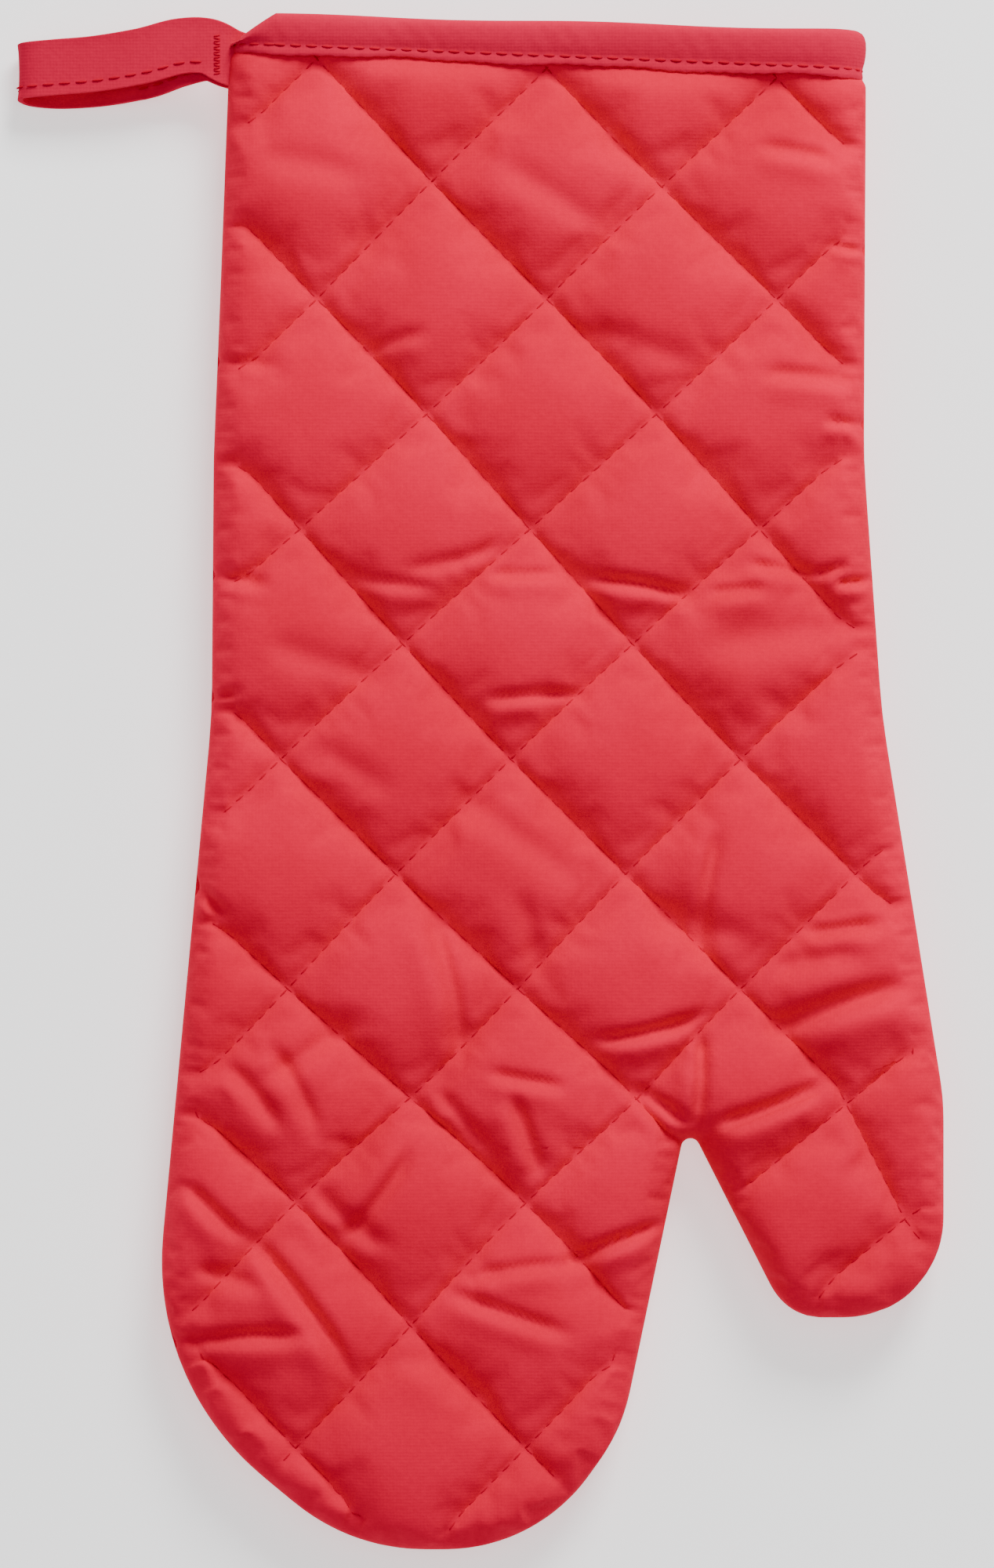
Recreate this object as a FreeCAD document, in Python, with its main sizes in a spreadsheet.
"""Quilted oven mitt, lying flat: two quilted panels, a bound cuff and a hanging loop.

Frame: +Z up from the surface the mitt lies on, +Y towards the cuff's mouth, +X on the
thumb's side. The origin is on that surface, on the cuff's centreline. Millimetres.
"""
import FreeCAD, Part
import math
import os
import Sketcher

document = FreeCAD.newDocument("OvenMitt")
sheet = document.addObject("Spreadsheet::Sheet", "Sizes")

SIZES = [
    # how far the outline reaches from the origin
    ("cuff_reach", 163.7),
    ("finger_reach", 165.0),
    ("thumb_reach", 115.0),
    # half widths from the centreline, going down the mitt
    ("cuff_left", 68.0),
    ("cuff_right", 68.2),
    ("wrist_left", 72.6),
    ("wrist_right", 67.6),
    ("palm_left", 73.0),
    ("palm_right", 71.5),
    ("finger_left", 86.5),
    ("thumb_right", 84.8),
    # stations along the mitt
    ("wrist_station", 70.0),
    ("palm_station", 15.0),
    ("thumb_root_drop", 68.0),
    # fingers' end
    ("fingertip_left", 43.0),
    ("fingertip_right", -3.0),
    ("finger_right", 15.5),
    ("finger_left_rise", 36.0),
    ("finger_right_rise", 26.0),
    # crotch between fingers and thumb
    ("crotch_across", 29.4),
    ("crotch_drop", 72.4),
    ("thumb_inner", 51.0),
    # roundings of the outline
    ("side_round", 150.0),
    ("finger_round", 60.0),
    ("fingertip_left_round", 44.0),
    ("fingertip_right_round", 38.0),
    ("finger_side_round", 38.0),
    ("crotch_round", 2.0),
    ("thumb_inner_round", 12.0),
    ("thumb_round", 21.5),
    ("thumb_side_round", 50.0),
    # layers
    ("shell_cloth", 0.8),
    ("batting_thick", 4.1),
    ("lining_cloth", 0.6),
    ("pocket_gap", 8.8),
    ("seam_allowance", 8.0),
    ("edge_round", 6.0),
    # cuff binding and threads
    ("binding_cloth", 1.0),
    ("binding_width", 9.6),
    ("topstitch_rise", 1.8),
    ("thread_size", 0.5),
    ("seam_cover", 1.0),
    ("quilt_pitch", 35.2),
    ("quilt_lines", 13),
    ("quilt_turn", 45.0),
    ("quilt_across", -5.0),
    ("quilt_along", 3.0),
    ("quilt_margin", 1.0),
    # bends
    ("joint_gap", 0.35),
    ("finger_bend_drop", 84.0),
    ("thumb_bend_drop", 5.0),
    ("thumb_bend_across", 0.6),
    ("thumb_bend_turn", 21.8),
    # hanging loop
    ("tape_thick", 1.2),
    ("tape_width", 12.3),
    ("loop_end_drop", 15.2),
    ("loop_reach", 114.6),
    ("loop_eye_radius", 3.5),
    ("loop_neck_gap", 0.2),
    ("loop_hinge_across", 76.0),
    ("loop_stitch_edge", 2.9),
    ("tack_length", 1.5),
    ("tack_margin", 2.0),
    ("tack_set_back", 1.2),
]

for row, (alias, value) in enumerate(SIZES, start=1):
    sheet.set(f"A{row}", str(value))
    sheet.setAlias(f"A{row}", alias)
document.recompute()

# Longer than any part of the mitt, for the blocks that trim and split it.
BEYOND = 400.0
RUN_OUT = 20.0

HALF = "(Sizes.shell_cloth + Sizes.batting_thick + Sizes.lining_cloth + Sizes.pocket_gap / 2)"
BAND_LOW = "(Sizes.cuff_reach - Sizes.binding_width)"
STACK_TOP = "(Sizes.cuff_reach - Sizes.binding_cloth)"
LINING_INSET = "(Sizes.shell_cloth + Sizes.seam_allowance)"
LOOP_OUTER = "(Sizes.loop_eye_radius + Sizes.tape_thick)"
LOOP_NECK = "(Sizes.loop_neck_gap + Sizes.tape_thick)"
TAPE_LOW = "(Sizes.cuff_reach - Sizes.loop_end_drop)"


def number(expression):
    """The value of an expression on the sheet's sizes."""
    return float(sheet.evalExpression(expression))


# ---------------------------------------------------------------- outline

# Going round anticlockwise from the mouth's left corner: across, along, rounding.
# The mouth's corners stand past the mouth, so every layer runs out through it.
CORNERS = [
    ("mouth_left", "-Sizes.cuff_left", f"Sizes.cuff_reach + {RUN_OUT}", None),
    ("wrist_left", "-Sizes.wrist_left", "Sizes.wrist_station", "side_round"),
    ("palm_left", "-Sizes.palm_left", "Sizes.palm_station", "side_round"),
    ("finger_left", "-Sizes.finger_left", "-Sizes.finger_reach + Sizes.finger_left_rise",
     "finger_round"),
    ("tip_left", "-Sizes.fingertip_left", "-Sizes.finger_reach", "fingertip_left_round"),
    ("tip_right", "Sizes.fingertip_right", "-Sizes.finger_reach", "fingertip_right_round"),
    ("finger_right", "Sizes.finger_right", "-Sizes.finger_reach + Sizes.finger_right_rise",
     "finger_side_round"),
    ("crotch", "Sizes.crotch_across", "-Sizes.crotch_drop", "crotch_round"),
    ("thumb_inner", "Sizes.thumb_inner", "-Sizes.thumb_reach", "thumb_inner_round"),
    ("thumb_tip", "Sizes.thumb_right", "-Sizes.thumb_reach", "thumb_round"),
    ("thumb_root", "Sizes.thumb_right", "-Sizes.thumb_root_drop", "thumb_side_round"),
    ("palm_right", "Sizes.palm_right", "Sizes.palm_station", "side_round"),
    ("wrist_right", "Sizes.wrist_right", "Sizes.wrist_station", "side_round"),
    ("mouth_right", "Sizes.cuff_right", f"Sizes.cuff_reach + {RUN_OUT}", None),
]


def rounding(before, corner, after, radius):
    """Tangent points and centre of a rounding, and whether the corner is convex."""
    back = (before - corner).normalize()
    ahead = (after - corner).normalize()
    half_angle = back.getAngle(ahead) / 2
    reach = radius / math.tan(half_angle)
    centre = corner + (back + ahead).normalize() * (radius / math.sin(half_angle))
    convex = back.cross(ahead).z < 0
    return corner + back * reach, corner + ahead * reach, centre, convex


def place_corner(sketch, name, point, lines, expressions):
    """Hold one corner point of a sketch at its place, on the lines that meet there."""
    mark = sketch.addGeometry(Part.Point(point), True)
    for line in lines:
        sketch.addConstraint(Sketcher.Constraint("PointOnObject", mark, 1, line))
    for kind, place, expression in zip(("DistanceX", "DistanceY"), point, expressions):
        held = sketch.addConstraint(Sketcher.Constraint(kind, -1, 1, mark, 1, place))
        sketch.renameConstraint(held, f"{name}_{kind}")
        sketch.setExpression(f"Constraints.{name}_{kind}", expression)


def make_outline():
    """The mitt's outline on its middle plane, straight runs joined by tangent arcs."""
    sketch = document.addObject("Sketcher::SketchObject", "Outline")
    count = len(CORNERS)
    points = [FreeCAD.Vector(number(x), number(y), 0) for _, x, y, _ in CORNERS]
    arrive = list(points)
    leave = list(points)
    arcs = {}
    for i, (_, _, _, alias) in enumerate(CORNERS):
        if alias is None:
            continue
        radius = number(f"Sizes.{alias}")
        first, second, centre, convex = rounding(
            points[i - 1], points[i], points[(i + 1) % count], radius)
        arrive[i], leave[i] = first, second
        arcs[i] = (centre, radius, convex)
    for i in range(count):
        sketch.addGeometry(Part.LineSegment(leave[i], arrive[(i + 1) % count]), False)
    for i, (name, x, y, alias) in enumerate(CORNERS):
        line_in = (i - 1) % count
        if i in arcs:
            centre, radius, convex = arcs[i]
            start, end = (arrive[i], leave[i]) if convex else (leave[i], arrive[i])
            angles = [math.atan2(p.y - centre.y, p.x - centre.x) for p in (start, end)]
            circle = Part.Circle(centre, FreeCAD.Vector(0, 0, 1), radius)
            arc = sketch.addGeometry(Part.ArcOfCircle(circle, *angles), False)
            arc_in, arc_out = (1, 2) if convex else (2, 1)
            sketch.addConstraint(Sketcher.Constraint("Tangent", line_in, 2, arc, arc_in))
            sketch.addConstraint(Sketcher.Constraint("Tangent", arc, arc_out, i, 1))
            held = sketch.addConstraint(Sketcher.Constraint("Radius", arc, radius))
            sketch.renameConstraint(held, f"{name}_Radius")
            sketch.setExpression(f"Constraints.{name}_Radius", f"Sizes.{alias}")
        else:
            sketch.addConstraint(Sketcher.Constraint("Coincident", line_in, 2, i, 1))
        place_corner(sketch, name, points[i], (line_in, i), (x, y))
    sketch.setExpression("Placement.Base.z", HALF)
    return sketch


outline = make_outline()
document.recompute()


# ---------------------------------------------------------------- helpers

def join(kind, name, first, second):
    """A Part boolean of two objects."""
    made = document.addObject(f"Part::{kind}", name)
    made.Base = first
    made.Tool = second
    return made


def extrude(name, profile, length, down="0"):
    """A solid from a closed profile, up by one length and down by another."""
    made = document.addObject("Part::Extrusion", name)
    made.Base = profile
    made.DirMode = "Custom"
    made.Dir = FreeCAD.Vector(0, 0, 1)
    made.Solid = True
    made.setExpression("LengthFwd", length)
    made.setExpression("LengthRev", down)
    return made


def inset(name, depth):
    """The outline moved inwards by a depth."""
    made = document.addObject("Part::Offset2D", name)
    made.Source = outline
    made.setExpression("Value", f"-({depth})")
    return made


def upper_face(shape):
    """The name of a shape's highest flat face."""
    highest = max(range(len(shape.Faces)), key=lambda i: shape.Faces[i].CenterOfMass.z)
    return f"Face{highest + 1}"


def upper_half(name, depth):
    """The mitt's upper half as it is at a depth under its surface, with a round edge."""
    profile = inset(f"{name}_line", depth) if depth != "0" else outline
    block = extrude(f"{name}_block", profile, f"{HALF} - {depth}")
    body = document.addObject("PartDesign::Body", name)
    body.BaseFeature = block
    document.recompute()
    base = body.Tip
    edge = body.newObject("PartDesign::Fillet", f"{name}_edge")
    edge.Base = (base, [upper_face(base.Shape)])
    edge.setExpression("Radius", f"Sizes.edge_round - {depth}")
    return body


def slab(name, low, high):
    """A block over everything between two stations along the mitt."""
    made = document.addObject("Part::Box", name)
    made.Length = 2 * BEYOND
    made.Height = BEYOND
    made.setExpression("Width", f"{high} - ({low})")
    made.setExpression("Placement.Base.y", low)
    made.Placement.Base.x = -BEYOND
    made.Placement.Base.z = -BEYOND / 2
    return made


def mirrored(name, source):
    """The copy of an object on the other side of the mitt's middle plane."""
    made = document.addObject("Part::Mirroring", name)
    made.Source = source
    made.Normal = (0, 0, 1)
    made.setExpression("Base.z", HALF)
    return made


nodes = []


def keep(made, label):
    """Name a finished piece, which is written to a file of that name."""
    made.Label = label
    nodes.append(made)


# ---------------------------------------------------------------- envelopes

skin = upper_half("skin", "0")
under_shell = upper_half("under_shell", "Sizes.shell_cloth")
under_binding = upper_half("under_binding", "Sizes.binding_cloth")
under_bound_shell = upper_half("under_bound_shell", "(Sizes.binding_cloth + Sizes.shell_cloth)")
under_thread = upper_half("under_thread", "Sizes.thread_size")

lining_outer = extrude(
    "lining_outer",
    inset("lining_outer_line", LINING_INSET),
    "Sizes.pocket_gap / 2 + Sizes.lining_cloth")
pocket = extrude(
    "pocket",
    inset("pocket_line", f"{LINING_INSET} + Sizes.lining_cloth"),
    "Sizes.pocket_gap / 2")
bound_mouth = extrude(
    "bound_mouth",
    inset("bound_mouth_line", f"{LINING_INSET} + Sizes.lining_cloth + Sizes.binding_cloth"),
    "Sizes.pocket_gap / 2 - Sizes.binding_cloth")

below_band = slab("below_band", f"-{BEYOND}", BAND_LOW)
below_step = slab("below_step", f"-{BEYOND}", f"({BAND_LOW} - Sizes.shell_cloth)")
below_stack = slab("below_stack", f"-{BEYOND}", STACK_TOP)
band = slab("band", BAND_LOW, "Sizes.cuff_reach")

# The cloth steps inwards under the binding, so the binding lies flush with the mitt.
panel_outside = join(
    "Fuse", "panel_outside",
    join("Common", "main_outside", skin, below_band),
    join("Common", "bound_outside", under_binding, below_stack))
padding_outside = join(
    "Fuse", "padding_outside",
    join("Common", "main_padding", under_shell, below_step),
    join("Common", "bound_padding", under_bound_shell, below_stack))


# ---------------------------------------------------------------- threads

def quilt_rows(name, turn):
    """Parallel lines of quilting stitches, let into the upper face."""
    body = document.addObject("PartDesign::Body", name)
    body.AllowCompound = True
    plane = next(p for p in body.Origin.OriginFeatures if p.Role == "XY_Plane")
    sketch = body.newObject("Sketcher::SketchObject", f"{name}_profile")
    sketch.AttachmentSupport = [(plane, "")]
    sketch.MapMode = "FlatFace"
    size = number("Sizes.thread_size")
    low = -number("(Sizes.quilt_lines - 1) / 2 * Sizes.quilt_pitch") - size / 2
    corners = [FreeCAD.Vector(x, y, 0) for x, y in (
        (-BEYOND, low), (BEYOND, low), (BEYOND, low + size), (-BEYOND, low + size))]
    for i in range(4):
        sketch.addGeometry(Part.LineSegment(corners[i], corners[(i + 1) % 4]), False)
    for i in range(4):
        sketch.addConstraint(Sketcher.Constraint("Coincident", i, 2, (i + 1) % 4, 1))
    for line, way in enumerate(("Horizontal", "Vertical", "Horizontal", "Vertical")):
        sketch.addConstraint(Sketcher.Constraint(way, line))
    for label, fixed, expression in (
            ("left", Sketcher.Constraint("DistanceX", -1, 1, 0, 1, -BEYOND), f"-{BEYOND}"),
            ("right", Sketcher.Constraint("DistanceX", -1, 1, 0, 2, BEYOND), f"{BEYOND}"),
            ("low", Sketcher.Constraint("DistanceY", -1, 1, 0, 1, low),
             "-(Sizes.quilt_lines - 1) / 2 * Sizes.quilt_pitch - Sizes.thread_size / 2"),
            ("wide", Sketcher.Constraint("DistanceY", 1, 1, 1, 2, size), "Sizes.thread_size")):
        held = sketch.addConstraint(fixed)
        sketch.renameConstraint(held, label)
        sketch.setExpression(f"Constraints.{label}", expression)
    pad = body.newObject("PartDesign::Pad", f"{name}_row")
    pad.Profile = sketch
    pad.setExpression("Length", "Sizes.thread_size")
    document.recompute()
    rows = body.newObject("PartDesign::LinearPattern", f"{name}_rows")
    rows.Originals = [pad]
    rows.Direction = (sketch, ["V_Axis"])
    rows.setExpression("Length", "(Sizes.quilt_lines - 1) * Sizes.quilt_pitch")
    rows.setExpression("Occurrences", "Sizes.quilt_lines")
    body.Tip = rows
    body.setExpression("Placement.Rotation.Angle", turn)
    body.setExpression("Placement.Base.x", "Sizes.quilt_across")
    body.setExpression("Placement.Base.y", "Sizes.quilt_along")
    body.setExpression("Placement.Base.z", f"2 * {HALF} - Sizes.thread_size")
    return body


quilt_field = join(
    "Common", "quilt_field",
    extrude("quilt_field_block",
            inset("quilt_field_line", "Sizes.edge_round + Sizes.quilt_margin"),
            f"2 * {HALF}"),
    slab("quilt_stop", f"-{BEYOND}", f"({BAND_LOW} - Sizes.quilt_margin)"))
quilting = join(
    "Common", "quilting",
    join("Fuse", "quilt_lattice",
         quilt_rows("quilt_rising", "Sizes.quilt_turn"),
         quilt_rows("quilt_falling", "-Sizes.quilt_turn")),
    quilt_field)

SEAM_INSET = "Sizes.binding_cloth + Sizes.shell_cloth + Sizes.seam_cover"
seam_ring = join(
    "Cut", "seam_ring",
    extrude("seam_outer", inset("seam_outer_line", SEAM_INSET),
            "Sizes.thread_size / 2", "Sizes.thread_size / 2"),
    extrude("seam_inner", inset("seam_inner_line", f"{SEAM_INSET} + Sizes.thread_size"),
            "Sizes.thread_size / 2", "Sizes.thread_size / 2"))
seam = join("Common", "seam", seam_ring, below_stack)


# ---------------------------------------------------------------- layers

shell = join("Cut", "shell", join("Cut", "plain_shell", panel_outside, padding_outside), quilting)
batting = join(
    "Cut", "batting",
    join("Cut", "plain_batting", padding_outside, lining_outer), seam)
lining = join("Cut", "lining", join("Common", "long_lining", lining_outer, below_stack), pocket)


# ---------------------------------------------------------------- bends

def finger_block(name, high):
    """A block over the fingers, below a station along the mitt."""
    made = document.addObject("Part::Box", name)
    made.Height = BEYOND
    made.setExpression("Length", f"{BEYOND} + Sizes.crotch_across + Sizes.thumb_bend_across")
    made.setExpression("Width", f"{BEYOND} + {high}")
    made.Placement.Base = FreeCAD.Vector(-BEYOND, -BEYOND, -BEYOND / 2)
    return made


def thumb_block(name, short):
    """A block over the thumb, up to its bend or a little short of it."""
    made = document.addObject("Part::Box", name)
    made.Length = BEYOND
    made.Height = BEYOND
    made.setExpression("Width", f"{BEYOND} - ({short})")
    made.setExpression(
        "Placement.Base.x",
        "Sizes.crotch_across + Sizes.thumb_bend_across"
        f" + {BEYOND} * sin(Sizes.thumb_bend_turn)")
    made.setExpression(
        "Placement.Base.y",
        "-(Sizes.crotch_drop + Sizes.thumb_bend_drop)"
        f" - {BEYOND} * cos(Sizes.thumb_bend_turn)")
    made.Placement.Base.z = -BEYOND / 2
    made.setExpression("Placement.Rotation.Angle", "Sizes.thumb_bend_turn")
    return made


HALF_GAP = "Sizes.joint_gap / 2"
zones = {
    "fingers": finger_block("finger_side", f"(-Sizes.finger_bend_drop - {HALF_GAP})"),
    "thumb": thumb_block("thumb_side", HALF_GAP),
}
off_palm = join(
    "Fuse", "off_palm",
    finger_block("finger_clear", f"(-Sizes.finger_bend_drop + {HALF_GAP})"),
    thumb_block("thumb_clear", f"-{HALF_GAP}"))


def split(piece, label):
    """A piece as its palm, fingers and thumb parts."""
    parts = {"palm": join("Cut", f"{label}_palm_part", piece, off_palm)}
    for zone, block in zones.items():
        parts[zone] = join("Common", f"{label}_{zone}_part", piece, block)
    return parts


for piece, label in (
        (shell, "shell"),
        (batting, "batting"),
        (lining, "lining"),
        (quilting, "quilting_thread")):
    for zone, part in split(piece, label).items():
        keep(part, f"front_{label}_{zone}")
        keep(mirrored(f"{label}_{zone}_back", part), f"back_{label}_{zone}")
for zone, part in split(seam, "seam_thread").items():
    keep(part, f"seam_thread_{zone}")


# ---------------------------------------------------------------- cuff binding

panel_stack = join("Cut", "panel_stack", panel_outside, pocket)
half_band = join("Cut", "half_band", join("Common", "band_skin", skin, band), bound_mouth)
half_binding = join("Cut", "half_binding", half_band, panel_stack)
topstitch_low = f"({BAND_LOW} + Sizes.topstitch_rise)"
topstitch_row = slab("topstitch_row", topstitch_low, f"({topstitch_low} + Sizes.thread_size)")
half_topstitch = join(
    "Cut", "half_topstitch",
    join("Common", "topstitch_skin", skin, topstitch_row), under_thread)
binding_thread = join(
    "Fuse", "topstitch", half_topstitch, mirrored("topstitch_back", half_topstitch))
cuff_binding = join(
    "Cut", "bound_cuff",
    join("Fuse", "whole_binding", half_binding, mirrored("binding_back", half_binding)),
    binding_thread)
keep(binding_thread, "binding_thread")
keep(cuff_binding, "cuff_binding")


# ---------------------------------------------------------------- hanging loop

def belt(sketch, name, neck, end, neck_place, end_place):
    """A closed line round two circles of a sketch, held by its radii and centres."""
    lean = end_place - neck_place
    turn = math.atan2(lean.y, lean.x)
    spread = math.acos((neck - end) / lean.Length)
    normals = [turn + spread, turn - spread]
    circles = []
    for place, radius, first, last in (
            (neck_place, neck, normals[0], normals[1] + 2 * math.pi),
            (end_place, end, normals[1], normals[0])):
        circle = Part.Circle(place, FreeCAD.Vector(0, 0, 1), radius)
        circles.append(sketch.addGeometry(Part.ArcOfCircle(circle, first, last), False))
    ends = []
    for angle in normals:
        out = FreeCAD.Vector(math.cos(angle), math.sin(angle), 0)
        line = Part.LineSegment(neck_place + out * neck, end_place + out * end)
        ends.append(sketch.addGeometry(line, False))
    for line, neck_point, end_point in ((ends[0], 1, 2), (ends[1], 2, 1)):
        sketch.addConstraint(Sketcher.Constraint("Tangent", line, 1, circles[0], neck_point))
        sketch.addConstraint(Sketcher.Constraint("Tangent", line, 2, circles[1], end_point))
    return circles


def loop_profile(body, name, wall):
    """The loop seen from its edge: a long eye, its far end down on the surface."""
    plane = next(p for p in body.Origin.OriginFeatures if p.Role == "XZ_Plane")
    sketch = body.newObject("Sketcher::SketchObject", name)
    sketch.AttachmentSupport = [(plane, "")]
    sketch.MapMode = "FlatFace"
    places = (
        ("neck", "-Sizes.loop_hinge_across", HALF),
        ("end", f"-(Sizes.loop_reach - {LOOP_OUTER})", LOOP_OUTER),
    )
    centres = [FreeCAD.Vector(number(x), number(z), 0) for _, x, z in places]
    for ring, depth in (("outer", "0"), ("inner", wall)):
        radii = [f"{LOOP_NECK} - {depth}", f"{LOOP_OUTER} - {depth}"]
        circles = belt(sketch, ring, number(radii[0]), number(radii[1]), *centres)
        for circle, radius, centre, (label, x, z) in zip(circles, radii, centres, places):
            for kind, value, expression in (
                    ("Radius", number(radius), radius),
                    ("DistanceX", centre.x, x),
                    ("DistanceY", centre.y, z)):
                target = (circle,) if kind == "Radius" else (-1, 1, circle, 3)
                held = sketch.addConstraint(Sketcher.Constraint(kind, *target, value))
                sketch.renameConstraint(held, f"{ring}_{label}_{kind}")
                sketch.setExpression(f"Constraints.{ring}_{label}_{kind}", expression)
    return sketch


def loop_piece(name, wall, width, low):
    """A band round the loop's line, between two stations along the mitt."""
    body = document.addObject("PartDesign::Body", name)
    pad = body.newObject("PartDesign::Pad", f"{name}_pad")
    pad.Profile = loop_profile(body, f"{name}_profile", wall)
    pad.setExpression("Length", width)
    pad.Reversed = True
    body.setExpression("Placement.Base.y", low)
    return body


plain_loop = loop_piece("plain_loop", "Sizes.tape_thick", "Sizes.tape_width", TAPE_LOW)
loop_thread = loop_piece(
    "edge_stitch", "Sizes.thread_size", "Sizes.thread_size",
    f"{TAPE_LOW} + Sizes.loop_stitch_edge")
hanging_loop = join("Cut", "stitched_loop", plain_loop, loop_thread)
keep(loop_thread, "loop_thread")
keep(hanging_loop, "hanging_loop")

# The tail's inner end is cut to the cuff's side, so the two meet face to face.
TAIL_LEFT = f"(-Sizes.loop_hinge_across + {LOOP_NECK} + Sizes.joint_gap)"
tail_block = document.addObject("Part::Box", "tail_block")
tail_block.setExpression("Length", f"-{TAIL_LEFT}")
tail_block.setExpression("Width", "Sizes.tape_width")
tail_block.setExpression("Height", "2 * Sizes.tape_thick")
tail_block.setExpression("Placement.Base.x", TAIL_LEFT)
tail_block.setExpression("Placement.Base.y", TAPE_LOW)
tail_block.setExpression("Placement.Base.z", f"{HALF} - Sizes.tape_thick")
whole_skin = join("Fuse", "whole_skin", skin, mirrored("skin_back", skin))
plain_tail = join("Cut", "plain_tail", tail_block, whole_skin)

tack = document.addObject("Part::Box", "tack")
tack.setExpression("Length", "Sizes.tack_length")
tack.setExpression("Width", "Sizes.tape_width - 2 * Sizes.tack_margin")
tack.setExpression("Height", "2 * Sizes.tape_thick")
tack.setExpression("Placement.Base.x", f"{TAIL_LEFT} + Sizes.tack_set_back")
tack.setExpression("Placement.Base.y", f"{TAPE_LOW} + Sizes.tack_margin")
tack.setExpression("Placement.Base.z", f"{HALF} - Sizes.tape_thick")
keep(join("Cut", "tacked_tail", plain_tail, tack), "loop_tail")
keep(tack, "loop_bar_tack")


# ---------------------------------------------------------------- checks and files

document.recompute()
for made in document.Objects:
    if "Invalid" in made.State or "Error" in made.State:
        raise RuntimeError(f"{made.Name} failed: {made.State}")
for made in nodes:
    if made.Shape.isNull() or not made.Shape.isValid() or not made.Shape.Solids:
        raise RuntimeError(f"{made.Label} has no valid solid")

os.makedirs("parts", exist_ok=True)
for made in nodes:
    made.Shape.exportStep(f"parts/{made.Label}.step")
    box = made.Shape.BoundBox
    print(f"{made.Label:28s} solids {len(made.Shape.Solids)}  volume {made.Shape.Volume:10.1f}"
          f"  x {box.XMin:7.1f} {box.XMax:7.1f}  y {box.YMin:7.1f} {box.YMax:7.1f}"
          f"  z {box.ZMin:5.1f} {box.ZMax:5.1f}")
